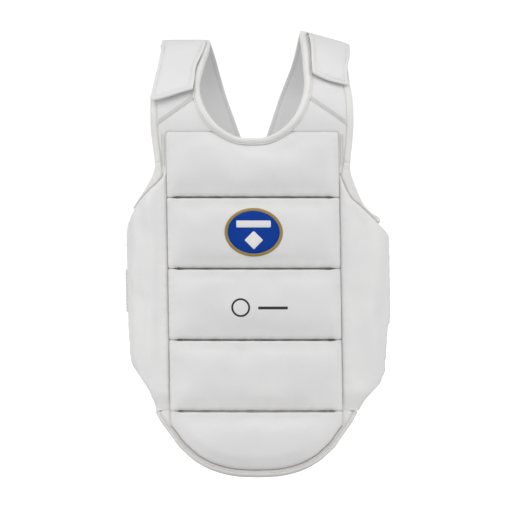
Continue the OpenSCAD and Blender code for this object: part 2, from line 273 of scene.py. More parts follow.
def on_upper(x, s, out):
    """Thin upper front; s is the height, and over the shoulder the distance along its curve"""
    x, s, out = arrays(x, s, out)
    side, x = np.where(x < 0, -1, 1), np.abs(x)
    a = np.arcsin(np.clip(x / (PANEL_R - YOKE_DEPTH), -1, 1))
    r = PANEL_R - YOKE_DEPTH + out
    flat = stack(r * np.sin(a), PANEL_Y - r * np.cos(a), s)
    turn = np.maximum(s - SHOULDER_Z, 0) / SHOULDER_R
    r = SHOULDER_R + out
    y = -r * np.cos(turn)
    z = SHOULDER_Z + r * np.sin(turn) + np.minimum(s - SHOULDER_Z, 0)
    along = (x - SHOULDER_X - SHOULDER_R * np.cos(turn) * math.sin(SHOULDER_TURN)) / math.cos(SHOULDER_TURN)
    bent = stack(
        SHOULDER_X + along * math.cos(SHOULDER_TURN) - y * math.sin(SHOULDER_TURN),
        SHOULDER_Y + along * math.sin(SHOULDER_TURN) + y * math.cos(SHOULDER_TURN), z)
    w = soft_step((s - 425) / 45)[..., None]
    p = flat * (1 - w) + bent * w
    p[..., 0] *= side
    return askew(p, p[..., 2])


def along_curve(points, out=0.0):
    """Heights in a front view turned into distances along the shoulder's curve"""
    p = np.array(points, float)
    over = np.clip((p[:, 1] - SHOULDER_Z) / (SHOULDER_R + out), 0, 1)
    p[:, 1] = np.where(p[:, 1] > SHOULDER_Z, SHOULDER_Z + SHOULDER_R * np.arcsin(over), p[:, 1])
    return p


def hinge_s(x):
    """Distance along the shoulder's curve at which it reaches the strap's fold line"""
    y = math.cos(SHOULDER_TURN) * (HINGE_Y - SHOULDER_Y - (x - SHOULDER_X) * math.tan(SHOULDER_TURN))
    return SHOULDER_Z + SHOULDER_R * math.acos(-y / SHOULDER_R)


def on_strap(side, layer):
    """Back strap; x is across it and s the distance from the fold line, back and down"""
    r = 110 - layer * 3.3 - HINGE_Y - WEB / 2
    centre_z = STRAP_TOP - r - WEB / 2
    bend = r * math.pi / 2
    def place(x, s, out):
        x, s, out = arrays(x, s, out)
        turn = np.clip(s, 0, bend) / r
        z_mid = centre_z + r * np.cos(turn) - np.maximum(s - bend, 0)
        y = HINGE_Y + 0.2 + (r + out) * np.sin(turn)
        z = z_mid + out * np.cos(turn)
        aside = 3.5 * soft_step((560 - z_mid) / 40) * soft_step((z_mid - 240) / 60) * (side > 0)
        p = stack(side * (-26 + (z_mid - BELT_Z) * STRAP_TAN + x / STRAP_COS) + aside, y, z)
        return askew(p, STRAP_TOP, 1 - soft_step(s / 110))
    return place, bend + centre_z - BELT_Z + BELT_H / 2


def in_plan(x, y, z):
    """Upright band drawn in plan, with the belt's tilt"""
    return stack(x, y, z + BELT_TILT * x)


# ---- Meshes ----
def collect(name, verts, faces, material, crease=None):
    mesh = bpy.data.meshes.new(name)
    mesh.from_pydata((slanted(verts) * MM).tolist(), [], [list(map(int, f)) for f in faces])
    # The crease attribute stores how much painted shade and dirt each point gets.
    if crease is not None:
        values = mesh.attributes.new("crease", "FLOAT", "POINT").data
        values.foreach_set("value", np.asarray(crease, np.float32))
    b = bmesh.new()
    b.from_mesh(mesh)
    bmesh.ops.recalc_face_normals(b, faces=b.faces)
    b.to_mesh(mesh)
    b.free()
    mesh.polygons.foreach_set("use_smooth", [True] * len(mesh.polygons))
    mesh.materials.append(material)
    piece = bpy.data.objects.new(name, mesh)
    bpy.context.scene.collection.objects.link(piece)
    return piece


class Region:
    """A flat outline filled with triangles, finer along its edge"""

    def __init__(self, outline, gap=3.6, rings=(0.8, 1.8, 3.2, 5.2), edge_gap=2.6):
        self.outline = resample(outline, edge_gap, closed=True)
        x, y = self.outline.T
        if np.dot(x, np.roll(y, -1)) - np.dot(y, np.roll(x, -1)) < 0:
            self.outline = self.outline[::-1]
        inward = normals(self.outline, closed=True)
        points = [self.outline]
        for r in rings:
            ring = self.outline + r * inward
            keep = inside(ring, self.outline) & (distance(ring, self.outline) > 0.94 * r)
            points.append(ring[keep])
        low, high = self.outline.min(axis=0), self.outline.max(axis=0)
        rows = np.arange(low[1], high[1], gap * 0.866)
        columns = np.arange(low[0], high[0], gap)
        grid = np.array([(c + (i % 2) * gap / 2, r) for i, r in enumerate(rows) for c in columns])
        if len(grid):
            grid = grid[inside(grid, self.outline)]
            last = rings[-1] if rings else 0
            points.append(grid[distance(grid, self.outline) > last + 0.6 * gap])
        p = np.vstack(points)
        border = [list(range(len(self.outline)))]
        verts, _, faces, *_ = delaunay_2d_cdt([Vector(v) for v in p], [], border, 1, 1e-5)
        self.p = np.array([tuple(v) for v in verts])
        self.faces = [list(f) for f in faces]
        self.d = distance(self.p, self.outline)
        edges = {(f[i], f[(i + 1) % len(f)]) for f in self.faces for i in range(len(f))}
        self.rim = [(a, b) for a, b in edges if (b, a) not in edges]

    def solid(self, name, place, top, bottom, material, crease=None):
        """Closed piece between two heights over the surface"""
        n = len(self.p)
        x, y = self.p.T
        top, bottom = np.broadcast_to(top, n), np.broadcast_to(bottom, n)
        verts = np.vstack([place(x, y, top), place(x, y, bottom)])
        faces = self.faces + [[v + n for v in f[::-1]] for f in self.faces]
        faces += [(b, a, a + n, b + n) for a, b in self.rim]
        # By default the crease attribute puts painted shade and some dirt towards the piece's edges and
        # seams.
        if crease is None:
            crease = np.exp(-self.d / 2.2)
        return collect(name, verts, faces, material, np.concatenate([crease, crease]))

    def relax(self, values, rounds=3):
        """values evened out over neighbouring points, but for the edge"""
        links = np.array([(f[i], f[(i + 1) % len(f)]) for f in self.faces for i in range(len(f))])
        fixed = self.d < 0.5
        for _ in range(rounds):
            total, count = np.zeros(len(values)), np.zeros(len(values))
            for a, b in ((0, 1), (1, 0)):
                np.add.at(total, links[:, a], values[links[:, b]])
                np.add.at(count, links[:, a], 1)
            values = np.where(fixed, values, 0.5 * values + 0.5 * total / np.maximum(count, 1))
        return values


def sweep(path, place, section, closed=False, wobble=0.0):
    """Verts and faces of a bar with that section (across, out) along a flat line"""
    path = np.array(path, float)
    side = normals(path, closed)
    n, m = len(path), len(section)
    rings = []
    for k, (across, out) in enumerate(section):
        p = path + across * side
        rise = wobble * wave(np.arange(n) * 2.0, 1.7 * k, 5.0) if out > -3 else 0
        rings.append(place(p[:, 0], p[:, 1], out + rise))
    verts = np.stack(rings, axis=1).reshape(-1, 3)
    faces = []
    for i in range(n if closed else n - 1):
        j = (i + 1) % n
        for k in range(m):
            l = (k + 1) % m
            faces.append((i * m + k, i * m + l, j * m + l, j * m + k))
    if not closed:
        faces += [tuple(range(m))[::-1], tuple(range((n - 1) * m, n * m))]
    return verts, faces


def threads(path, place, out, pitch=3.6, length=2.7, radius=0.42, lift=0.1):
    """Verts and faces of a row of lock stitches along a flat line"""
    ends = resample(path, pitch)
    p = resample(path, pitch / 8)
    total = np.concatenate([[0], np.cumsum(np.linalg.norm(np.diff(p, axis=0), axis=1))])
    side = normals(p)
    verts, faces = [], []
    shape = [(-0.5, 0.3, -0.5), (-0.34, 0.9, 0.0), (0.0, 1.0, 0.25), (0.34, 0.9, 0.0), (0.5, 0.3, -0.5)]
    angles = np.arange(6) * math.pi / 3
    for i in range(len(ends) - 1):
        middle = (i + 0.5) * total[-1] / (len(ends) - 1)
        base = len(verts)
        for at, wide, up in shape:
            s = np.clip(middle + at * length, 0, total[-1])
            q = np.array([np.interp(s, total, p[:, 0]), np.interp(s, total, p[:, 1])])
            nrm = np.array([np.interp(s, total, side[:, 0]), np.interp(s, total, side[:, 1])])
            for a in angles:
                w = q + nrm * radius * wide * math.cos(a)
                verts.append((w[0], w[1], out + lift + radius * up + radius * wide * math.sin(a)))
        for k in range(len(shape) - 1):
            for a in range(6):
                b = (a + 1) % 6
                faces.append((base + k * 6 + a, base + k * 6 + b, base + k * 6 + 6 + b, base + k * 6 + 6 + a))
        faces.append(tuple(base + a for a in range(6))[::-1])
        faces.append(tuple(base + (len(shape) - 1) * 6 + a for a in range(6)))
    v = np.array(verts)
    return place(v[:, 0], v[:, 1], v[:, 2]), faces


def joined(name, parts, material):
    """One piece from several (verts, faces)"""
    verts, faces, n = [], [], 0
    for v, f in parts:
        verts.append(v)
        faces += [tuple(i + n for i in g) for g in f]
        n += len(v)
    return collect(name, np.vstack(verts), faces, material)


# ---- Cloth under pressure ----
# Rays start this far out, in millimetres, and reach this far, in metres
RAY_FROM = 30.0
RAY_REACH = 0.06
FRAMES = 20


def swell(piece, fixed, cap):
    """The shape of a closed pad whose cover is blown up from inside, as a tree to cast rays at"""
    form = piece.copy()
    form.data = piece.data.copy()
    bpy.context.scene.collection.objects.link(form)
    bpy.context.view_layer.objects.active = form
    mod = form.modifiers.new("remesh", "REMESH")
    mod.mode, mod.voxel_size = "VOXEL", 0.005
    bpy.context.view_layer.update()
    mesh = bpy.data.meshes.new_from_object(form.evaluated_get(bpy.context.evaluated_depsgraph_get()))
    form.modifiers.clear()
    form.data = mesh
    rest = np.empty(len(mesh.vertices) * 3)
    mesh.vertices.foreach_get("co", rest)
    rest = rest.reshape(-1, 3)
    held = form.vertex_groups.new(name="held")
    held.add([int(i) for i in np.nonzero(fixed(rest / MM))[0]], 1.0, "REPLACE")
    cloth = form.modifiers.new("cloth", "CLOTH")
    s = cloth.settings
    s.quality = 5
    s.mass = 0.25
    s.tension_stiffness = s.compression_stiffness = 12
    s.shear_stiffness = 6
    s.bending_stiffness = 0.6
    s.shrink_min = -0.03
    s.use_pressure = True
    s.uniform_pressure_force = 4
    s.vertex_group_mass = "held"
    s.effector_weights.gravity = 0
    scene = bpy.context.scene
    for f in range(1, FRAMES + 1):
        scene.frame_set(f)
    shape = form.evaluated_get(bpy.context.evaluated_depsgraph_get()).to_mesh()
    now = np.empty(len(shape.vertices) * 3)
    shape.vertices.foreach_get("co", now)
    move = now.reshape(-1, 3) - rest
    size = np.linalg.norm(move, axis=1, keepdims=True)
    move *= np.minimum(1, cap * MM / np.maximum(size, 1e-9))
    faces = [list(f.vertices) for f in mesh.polygons]
    tree = BVHTree.FromPolygons([Vector(v) for v in rest + move], faces)
    scene.frame_set(1)
    bpy.data.objects.remove(form)
    return tree


def heights(tree, place, x, z):
    """How far a shape stands out over each point, or nan where a ray cast inwards misses it"""
    far, near = (slanted(place(x, z, np.full(len(x), out))) * MM for out in (RAY_FROM, 0.0))
    hits = [tree.ray_cast(Vector(a), Vector(b - a).normalized(), RAY_REACH) for a, b in zip(far, near)]
    return np.array([np.nan if hit[0] is None else RAY_FROM - hit[3] / MM for hit in hits])


def puff(region, name, place, start, back, fixed, cap=7.0):
    """How far the blown-up cover stands out over each point, as a share of nearly the furthest"""
    form = region.solid(name + "_form", place, start, back, leather)
    tree = swell(form, fixed, cap)
    bpy.data.objects.remove(form)
    rise = heights(tree, place, *region.p.T)
    rise = np.where(np.isnan(rise), start, rise)
    rise = region.relax(np.maximum(rise - start, 0), 6)
    return rise / max(np.percentile(rise, 98), 1e-3)


# ---- Materials ----
class Tree:
    """The nodes of a material or a world"""

    def __init__(self, owner):
        owner.use_nodes = True
        self.nodes, self.links = owner.node_tree.nodes, owner.node_tree.links

    def put(self, node, inputs):
        """Sets or links a node's inputs"""
        for key, value in inputs.items():
            if isinstance(value, bpy.types.NodeSocket):
                self.links.new(value, node.inputs[key])
            else:
                node.inputs[key].default_value = value

    def add(self, kind, inputs, output=0, **settings):
        """Output of a new node"""
        node = self.nodes.new("ShaderNode" + kind)
        for key, value in settings.items():
            setattr(node, key, value)
        self.put(node, inputs)
        return node.outputs[output]

    def noise(self, coords, scale, detail=3.0, rough=0.5):
        inputs = {"Scale": scale, "Detail": detail, "Roughness": rough, "Vector": coords}
        return self.add("TexNoise", inputs, "Fac")

    def sum(self, operation, a, b):
        return self.add("Math", {0: a, 1: b}, operation=operation)

    def ramp(self, value, low, high):
        colour = self.add("ValToRGB", {"Fac": value}, "Color")
        for stop, shade, place in zip(colour.node.color_ramp.elements, (low, high), (0.3, 0.7)):
            stop.color = (*shade, 1)
            stop.position = place
        return colour

    def range(self, value, low, high):
        return self.add("MapRange", {"Value": value, "To Min": low, "To Max": high})

    def bump(self, height, strength, metres):
        return self.add("Bump", {"Strength": strength, "Distance": metres, "Height": height}, "Normal")


def leather_like(name, low, high, rough, grain=850, depth=0.35, coat=0.12, dirt_and_shade_colour=(0.55, 0.53, 0.50), dirt_and_shade_strength=0.35,
                 specular=0.4):
    """Grained synthetic leather, darkened along its creases and edges by painted shade and some dirt, as the
    crease attribute says
    """
    m = bpy.data.materials.new(name)
    t = Tree(m)
    coords = t.add("TexCoord", {}, "Object")
    # Painted shade with some dirt: the crease attribute darkens seams, grooves and edges towards a darker
    # colour.
    crease = t.add("Attribute", {}, "Fac", attribute_name="crease")
    dirt_and_shade = t.sum("MULTIPLY", crease, t.sum("MULTIPLY", t.noise(coords, 60, 3), dirt_and_shade_strength * 1.6))
    base = t.ramp(t.noise(coords, 14, 4), low, high)
    colour = t.add("Mix", {"Factor": dirt_and_shade, "A": base, "B": (*dirt_and_shade_colour, 1)}, "Result", data_type="RGBA")
    warp = t.add("TexNoise", {"Scale": grain * 0.4, "Vector": coords}, "Color")
    pushed = t.add("VectorMath", {0: warp, 1: (0.0012, 0.0012, 0.0012), 2: coords}, operation="MULTIPLY_ADD")
    cells = t.add("TexVoronoi", {"Scale": grain, "Vector": pushed}, "Distance")
    height = t.sum("ADD", t.sum("MULTIPLY", cells, 0.6), t.noise(coords, grain * 0.22, 5, 0.6))
    t.put(t.nodes["Principled BSDF"], {
        "Base Color": colour, "Normal": t.bump(height, depth, 0.0004),
        "Roughness": t.range(t.noise(coords, 40, 3), rough - 0.06, rough + 0.08),
        "Coat Weight": coat, "Coat Roughness": 0.35, "Specular IOR Level": specular})
    return m


def cloth_like(name, low, high, scale, depth, rough=0.85, sheen=0.3, ribs=None):
    """Knit, weave or brushed tape; ribs = (axis, threads a metre) adds cords along a band"""
    m = bpy.data.materials.new(name)
    t = Tree(m)
    coords = t.add("TexCoord", {}, "Object")
    cells = t.add("TexVoronoi", {"Scale": scale, "Randomness": 0.45, "Vector": coords}, "Distance")
    height = t.sum("ADD", cells, t.sum("MULTIPLY", t.noise(coords, scale * 1.5, 2), 0.5))
    if ribs:
        inputs = {"Scale": ribs[1] / 20 * math.pi, "Distortion": 0.4, "Detail": 1, "Vector": coords}
        cords = t.add("TexWave", inputs, "Fac", bands_direction=ribs[0])
        height = t.sum("ADD", height, t.sum("MULTIPLY", cords, 1.2))
    t.put(t.nodes["Principled BSDF"], {
        "Base Color": t.ramp(t.noise(coords, 30, 4), low, high), "Normal": t.bump(height, depth, 0.0006),
        "Roughness": t.range(t.noise(coords, 300, 2), rough - 0.1, rough + 0.1),
        "Sheen Weight": sheen, "Sheen Roughness": 0.5, "Specular IOR Level": 0.25})
    return m


leather = leather_like("white_leather", (0.735, 0.735, 0.738), (0.775, 0.775, 0.772), 0.46, dirt_and_shade_strength=0.5)
wing_leather = leather_like("wing_leather", (0.755, 0.755, 0.755), (0.795, 0.79, 0.785), 0.48)
tape = leather_like("binding_tape", (0.755, 0.75, 0.738), (0.805, 0.80, 0.788), 0.55, grain=560, depth=1.0,
                    coat=0.04, dirt_and_shade_strength=0.5)
# The hem's tape is the same white binding tape, coloured darker: painted shade along the hem.
hem_tape_painted_shade = leather_like("hem_binding_tape_painted_shade", (0.645, 0.633, 0.617), (0.715, 0.702, 0.685), 0.58, grain=560,
                        depth=1.0, coat=0.03, dirt_and_shade_strength=0.5)
strap_leather = leather_like("strap_leather", (0.755, 0.758, 0.765), (0.80, 0.80, 0.805), 0.52, grain=700,
                             depth=0.4, coat=0.05)
lining_knit = cloth_like("lining_knit", (0.66, 0.66, 0.655), (0.73, 0.73, 0.72), 620, 0.8)
elastic = cloth_like("elastic_webbing", (0.70, 0.70, 0.695), (0.77, 0.77, 0.76), 900, 0.8, ribs=("Z", 420))
loop_pile = cloth_like("loop_pile", (0.66, 0.66, 0.66), (0.78, 0.78, 0.78), 1100, 1.0, rough=0.9, sheen=0.6)
hook_plastic = cloth_like("hook_plastic", (0.60, 0.60, 0.60), (0.72, 0.72, 0.72), 700, 1.0, rough=0.5,
                          sheen=0.0)
# The thread is white; it is coloured grey as painted shade round the stitches.
thread_with_painted_shade = cloth_like("white_thread_painted_shade", (0.50, 0.488, 0.47), (0.62, 0.608, 0.59), 1500, 0.5, rough=0.6, sheen=0.1)
film_blue = leather_like("blue_film", (0.001, 0.036, 0.27), (0.003, 0.048, 0.33), 0.42, depth=0.15, coat=0.0,
                         dirt_and_shade_colour=(0.002, 0.03, 0.2), specular=0.12)
film_gold = leather_like("gold_film", (0.27, 0.185, 0.03), (0.37, 0.25, 0.05), 0.38, depth=0.15, coat=0.15,
                         dirt_and_shade_colour=(0.2, 0.12, 0.02))
film_white = leather_like("white_film", (0.78, 0.78, 0.78), (0.84, 0.84, 0.84), 0.36, depth=0.15, coat=0.25)
film_black = leather_like("black_film", (0.012, 0.012, 0.013), (0.03, 0.03, 0.03), 0.5, depth=0.15, coat=0.0,
                          dirt_and_shade_colour=(0.05, 0.05, 0.05))

# ---- Lines that several pieces share ----
neck_right = along_curve(smooth(NECK))
neck_right = np.vstack([neck_right, [(59, hinge_s(59))]])
arm_right = along_curve(smooth(ARM))
arm_right = np.vstack([arm_right, [(114, hinge_s(114))]])
neck_edge = offset(neck_right, -TAPE)
neck_edge[0] = (0, NECK[0][1] - TAPE)
arm_edge = offset(arm_right, TAPE)
for line in (neck_edge, arm_edge):
    line[-1, 1] = hinge_s(line[-1, 0])
neck_line = np.vstack([mirrored(neck_right)[:-1], neck_right])


def seam_z(x):
    (x0, z0), (x1, z1) = YOKE_SEAM
    return z0 + (x - x0) * (z1 - z0) / (x1 - x0)


def split(path, level):
    """The parts of an upward line below and above a level or a sloping seam, with the crossing in both"""
    h = path[:, 1] - (level(path[:, 0]) if callable(level) else level)
    i = int(np.nonzero(h > 0)[0][0])
    t = h[i - 1] / (h[i - 1] - h[i])
    cross = path[i - 1] + t * (path[i] - path[i - 1])
    return np.vstack([path[:i], cross]), np.vstack([cross, path[i:]])


def seam_on_curve(x):
    return along_curve(np.stack([x, seam_z(x)], axis=1))[:, 1]


def attach(piece, moves, finish, *nodes):
    """Puts a piece on the body it moves with, and hides the CAD nodes that it replaces, if any

    moves is a body, or two bodies and two points; with these the piece only has its place baked into its
    mesh, and doesn't bend.
    """
    if isinstance(moves, str):
        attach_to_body(piece, moves)
    else:
        start, end = (tuple(float(v) * MM for v in point) for point in moves[2:])
        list(moves[:2])
        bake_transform(piece)
        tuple(start)
        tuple(end)
    if nodes:
        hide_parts(*nodes)


def cut_from(outline, spare=1.0):
    """Size and area of a sheet cut to that outline, and how much more cloth than its area it takes; neither
    is kept
    """
    size_of(outline)
    area_of(outline) * MM * MM * spare


# Two points for a side seam: one on the seam and one a little beyond it
def side_seam(name):
    side = SIDES[name]
    way = np.array([side * math.cos(SEAM_A), math.sin(SEAM_A), 0])
    start = np.array([side * SEAM_X, SEAM_Y, 240])
    return "front", f"wing_{name}", start + 0.5 * way, start + 15 * way


TONGUE_SEAM = ("front", "tongue", (0, -104.5, SEAMS[4]), (0, -104.5, SEAMS[4] - 14))


def strap_fold(body, back):
    """The fold over the shoulder; back is 1 for what bends behind it, and -1 for what bends in front"""
    x = 92 * sum(side for name, side in SIDES.items() if body.endswith(name))
    start, end = ((x, HINGE_Y + back * beyond, STRAP_TOP) for beyond in (0.1, 16))
    return "front", body, start, end


# ---- Chest pads ----
# Height of a cover before it is blown up, how far it then stands out, and the width over which it does
COVER = -3.6
PUFF = 4.6
PUFF_WIDTH = 18.0
# What holds a pad down lies this far under its crown
SEWN = 12.0


def groove(d, sharp, soft, narrow=2.0, wide=11.0):
    """Drop beside a seam: a sharp one next to it and a soft one round that"""
    return sharp * np.exp(-d / narrow) + soft * np.exp(-d / wide)


def roll(d, r):
    """Drop of a rounded edge of that radius"""
    return r - np.sqrt(np.maximum(r * r - (r - np.minimum(d, r)) ** 2, 0))


def seam_gap(x, seed):
    """Half the opening between two pads, which closes towards the ends of the seam"""
    end = np.exp(-((np.abs(x) - 98.5) / 3.0) ** 2)
    return 0.2 + (0.85 + 0.25 * wave(x, seed, 31)) * (1 - soft_step((np.abs(x) - 101) / 6)) + 0.5 * end


def seam_hold(x):
    """1 along a channel seam, and less where the seam ends"""
    return 1 - 0.75 * soft_step((np.abs(x) - 98) / 10)


def top_round(d):
    """Drop of a pad's upper edge, at that distance below its seam"""
    return roll(d, 4.0) * 1.1 + 0.8 * np.exp(-d / 8)


def pad_face(x, z, low, high, first):
    """Height of a chest pad's cover between its channel seams, before it is blown up"""
    at_end = seam_hold(x)
    pull = 1 + 0.3 * wave(x, 1.3 + low, 19)
    down = (roll(z - low, 6.0) * 0.95 + 1.7 * np.exp(-(z - low) / 11)) * at_end * pull
    up = 3.2 * np.exp(-(high - z) / 3.5) if first else top_round(high - z) * at_end
    side = groove(SEAM_X - np.abs(x), 3.6, 0.9, 0.9, 5)
    pucker = 0.45 * wave(x, 2.1 * low, 8.5) * np.exp(-(z - low) / 5)
    pucker += 0.8 * wave(z, low, 11) * np.exp(-(SEAM_X - np.abs(x)) / 7) * (1 - at_end)
    return np.maximum(COVER - np.maximum(down, 0) - up - side + pucker, -13.0)


def behind_pads(v):
    """Points of a pad's form that are sewn to the lining, or lie in its seams"""
    r = np.hypot(v[:, 0], v[:, 1] - PANEL_Y)
    return r < PANEL_R - SEWN


def seam_line(z, way, seed):
    """Edge of the pad above (way 1) or below (way -1) a channel seam"""
    x = np.linspace(-SEAM_X, SEAM_X, 90)
    return np.stack([x, z + way * seam_gap(x, seed)], axis=1)


pads = {}
for i in range(1, 5):
    low, high = SEAMS[i], SEAMS[i - 1]
    floor_line = seam_line(low, 1, low)
    if i == 1:
        below, _ = split(neck_edge, high)
        across = np.vstack([below[::-1], (below * [-1, 1])[1:]])
        outline = np.vstack([floor_line, [(SEAM_X, high)], across, [(-SEAM_X, high)]])
    else:
        outline = np.vstack([floor_line, seam_line(high, -1, high)[::-1]])
    region = Region(outline, gap=4.0)
    x, z = region.p.T
    face = pad_face(x, z, low, high, i == 1)
    if i == 1:
        to_neck = distance(region.p, across, closed=False)
        face = np.maximum(face - groove(to_neck, 2.5, 5.0, 2.0, 12), -9.5)
    rise = puff(region, f"pad_{i}", on_panel, face - 1.5, -PAD_BACK, behind_pads)
    face = face + PUFF * rise * soft_step(region.d / PUFF_WIDTH)
    pad = region.solid(f"chest_pad_{i}", on_panel, face, -PAD_BACK, leather)
    attach(pad, "front", "cover", f"chest_cover_{i}", f"chest_foam_{i}")
    pads[i] = pad


# ---- Yokes, shoulder panels and their tapes ----
UPPER_BACK = -8.0
# The side seam on the thinner surface, and the lower end of the strips beside the first pad
STRIP_X = SEAM_X * 0.972
STRIP_Z = 386.0
# How much thinner the shoulder gets where it meets the strap's fold
THINNED = 4.4


def thin_pad(region, bulge):
    return bulge * (1 - np.exp(-region.d / 6)) - 0.4 * np.exp(-region.d / 0.8)


neck_low, neck_high = split(neck_edge, seam_on_curve)
arm_low, arm_high = split(arm_edge, seam_on_curve)
_, neck_low = split(neck_low, SEAMS[0])
for name, side in SIDES.items():
    flip = np.array([side, 1])
    strip = np.vstack([[(STRIP_X, SEAMS[0]), (STRIP_X, STRIP_Z)], arm_low[arm_low[:, 1] > STRIP_Z]])
    across = np.linspace(arm_low[-1, 0], neck_low[-1, 0], 12)[1:-1]
    diagonal = np.stack([across, seam_on_curve(across)], axis=1)
    yoke = np.vstack([neck_low[:1], strip, diagonal, neck_low[::-1][:-1]])
    region = Region(yoke * flip, gap=4.0)
    face = thin_pad(region, 0.5)
    # The yoke is darkened towards its edges by painted shade through the crease attribute.
    piece = region.solid(f"yoke_{name}_pad", on_upper, face, UPPER_BACK, leather, np.exp(-region.d))
    attach(piece, "front", "cover", f"yoke_{name}")

    top = [(x, hinge_s(x)) for x in np.linspace(arm_high[-1, 0], neck_high[-1, 0], 10)]
    shoulder = np.vstack([arm_high[:-1], top, neck_high[::-1][1:], diagonal[::-1]])
    region = Region(shoulder * flip, gap=4.0)
    thin = soft_step((region.p[:, 1] - top[0][1] + 26) / 24)
    face, back = thin_pad(region, 0.45), UPPER_BACK + THINNED * thin
    # The shoulder panel is darkened towards its edges by painted shade through the crease attribute.
    piece = region.solid(f"shoulder_{name}_pad", on_upper, face, back, leather, np.exp(-region.d))
    attach(piece, "front", "cover", f"shoulder_panel_{name}")

    patch = along_curve(np.array([(80, 525), (113, 510), (111, 556), (77, 556)]))
    region = Region(patch * flip, gap=4.0, rings=(1.0, 3.0))
    pile = 1.4 + 0.9 * (1 - np.exp(-region.d))
    piece = region.solid(f"shoulder_loop_patch_{name}", on_upper, pile, 1.2, loop_pile)
    attach(piece, "front", "loop_tape", f"shoulder_loop_{name}")

# Tape folded over the padding's edge: its section, from the opening outwards
TAPE_SECTION = [
    (-4.5, -5), (-4.4, -1.5), (-3.9, 0.3), (-3.0, 1.2), (-1.4, 1.65), (0.4, 1.55), (1.4, 1.1), (2.1, 0.7),
    (2.8, 1.05), (3.6, 1.1), (4.1, 0.5), (4.15, -0.5), (4.1, -10.2), (3.6, -11.4), (2.2, -11.5),
    (-1.0, -11.8), (-3.2, -11.0), (-4.3, -8.5)]
neck_path = resample(offset(neck_line, -TAPE / 2), 2.0)
neck_path[0, 1] = neck_path[-1, 1] = hinge_s(neck_path[-1, 0])
neck_top, arm_top = neck_path[-1, 1], arm_right[-1, 1]


def to_strap(x, s, out):
    """The tape thins out and climbs to the strap where it goes over the shoulder"""
    near = soft_step((s - neck_top + 26) / 22)
    return on_upper(x, s, np.where(out < -2, out * (1 - 0.62 * near), out) + 3.8 * near)


def to_tail(x, s, out):
    """The tape thins out at the shoulder, and sinks into the tail behind the wing"""
    low = soft_step((405 - s) / 11)
    near = soft_step((s - arm_top + 26) / 22)
    out = np.where(out < -2, out * (1 - 0.62 * near) + 6.6 * low, out - 3.2 * low)
    return on_upper(x, s, out)


section = [(-a, o) for a, o in TAPE_SECTION]
piece = joined("neck_tape", [sweep(neck_path, to_strap, section, wobble=0.18)], tape)
attach(piece, "front", "binding", "neck_binding")

arm_path = resample(offset(arm_right, TAPE / 2), 2.0)
arm_path = arm_path[arm_path[:, 1] > 393]
for name, side in SIDES.items():
    path = arm_path * [side, 1]
    section = [(-a * side, o) for a, o in TAPE_SECTION]
    piece = joined(f"armhole_tape_{name}", [sweep(path, to_tail, section, wobble=0.18)], tape)
    attach(piece, "front", "binding", f"armhole_binding_{name}")

# ---- Tongue ----
hem_edge = smooth(HEM) * [1.03, 1]
hem_edge = np.vstack([mirrored(hem_edge)[:-1], hem_edge])
pad_arc = offset(resample(hem_edge, 2.0), HEM_BAND)
pad_arc = pad_arc[np.abs(pad_arc[:, 0]) < SEAM_X]
tongue_top = seam_line(SEAMS[4], -1, SEAMS[4])
region = Region(np.vstack([pad_arc, tongue_top[::-1]]), gap=4.0)
x, z = region.p.T
to_hem = distance(region.p, pad_arc, closed=False)
face = COVER - top_round(SEAMS[4] - z) * seam_hold(x) - roll(to_hem, 6.0) * 0.8 - 2.2 * np.exp(-to_hem / 10)
face -= groove(SEAM_X - np.abs(x), 3.2, 0.8, 0.9, 5) * soft_step((z - 64) / 10)
face += 0.35 * wave(np.arctan2(x, 137 - z) * 137, 3.3, 13) * np.exp(-to_hem / 6)
face = np.maximum(face, -11.0)
rise = puff(region, "tongue", on_panel, face - 1.5, -PAD_BACK, behind_pads)
face = face + PUFF * rise * soft_step(region.d / PUFF_WIDTH)
piece = region.solid("tongue_pad", on_panel, face, -PAD_BACK, leather)
attach(piece, TONGUE_SEAM, "cover", "tongue_cover", "tongue_foam")

TONGUE_TOP = SEAMS[4] + 0.2
flange_edge = offset(resample(hem_edge, 2.0), 6.6)
flange_edge[0, 1] = flange_edge[-1, 1] = TONGUE_TOP
flange_inner = offset(pad_arc, -0.2)
flange_inner = np.vstack([[(-SEAM_X - 0.2, TONGUE_TOP)], flange_inner, [(SEAM_X + 0.2, TONGUE_TOP)]])
region = Region(np.vstack([flange_edge, flange_inner[::-1]]), gap=3.0, rings=(0.5, 1.2), edge_gap=2.0)
x, z = region.p.T
under_wing = 2.4 * soft_step((z - 70) / 12) * soft_step((np.abs(x) - 120) / 8)
face = -8.2 - 1.2 * np.exp(-region.d / 0.5) - under_wing
piece = region.solid("hem_flange", on_panel, face, -16.5, leather)
attach(piece, TONGUE_SEAM, "cover")

hem_path = resample(offset(resample(hem_edge, 2.0), 3.5), 1.6)
tops = [[(x, TONGUE_TOP)] for x in hem_path[[1, -2], 0]]
hem_path = hem_path[1:-1]
hem_path = np.vstack([tops[0], hem_path[hem_path[:, 1] < TONGUE_TOP - 1.2], tops[1]])
HEM_SECTION = [
    (3.6, -8.0), (3.4, -6.9), (2.6, -6.3), (1.9, -6.6), (1.2, -6.1), (0, -5.7), (-1.4, -6.1), (-2.6, -7.5),
    (-3.4, -9.8), (-3.8, -12.8), (-3.6, -16.5), (-2.8, -19.0), (-1.2, -20.4), (1.2, -20.6), (3.2, -20.0),
    (3.6, -18)]


def on_hem(x, z, out):
    """The tape flattens towards the wings"""
    kept = 1 - 0.22 * soft_step((z - 40) / 36) - 0.26 * soft_step((z - 70) / 13)
    return on_panel(x, z, np.where(out > -16, -16 + (out + 16) * kept, out))


piece = joined("hem_tape", [sweep(hem_path, on_hem, HEM_SECTION, wobble=0.15)], hem_tape_painted_shade)
attach(piece, TONGUE_SEAM, "binding", "hem_binding")


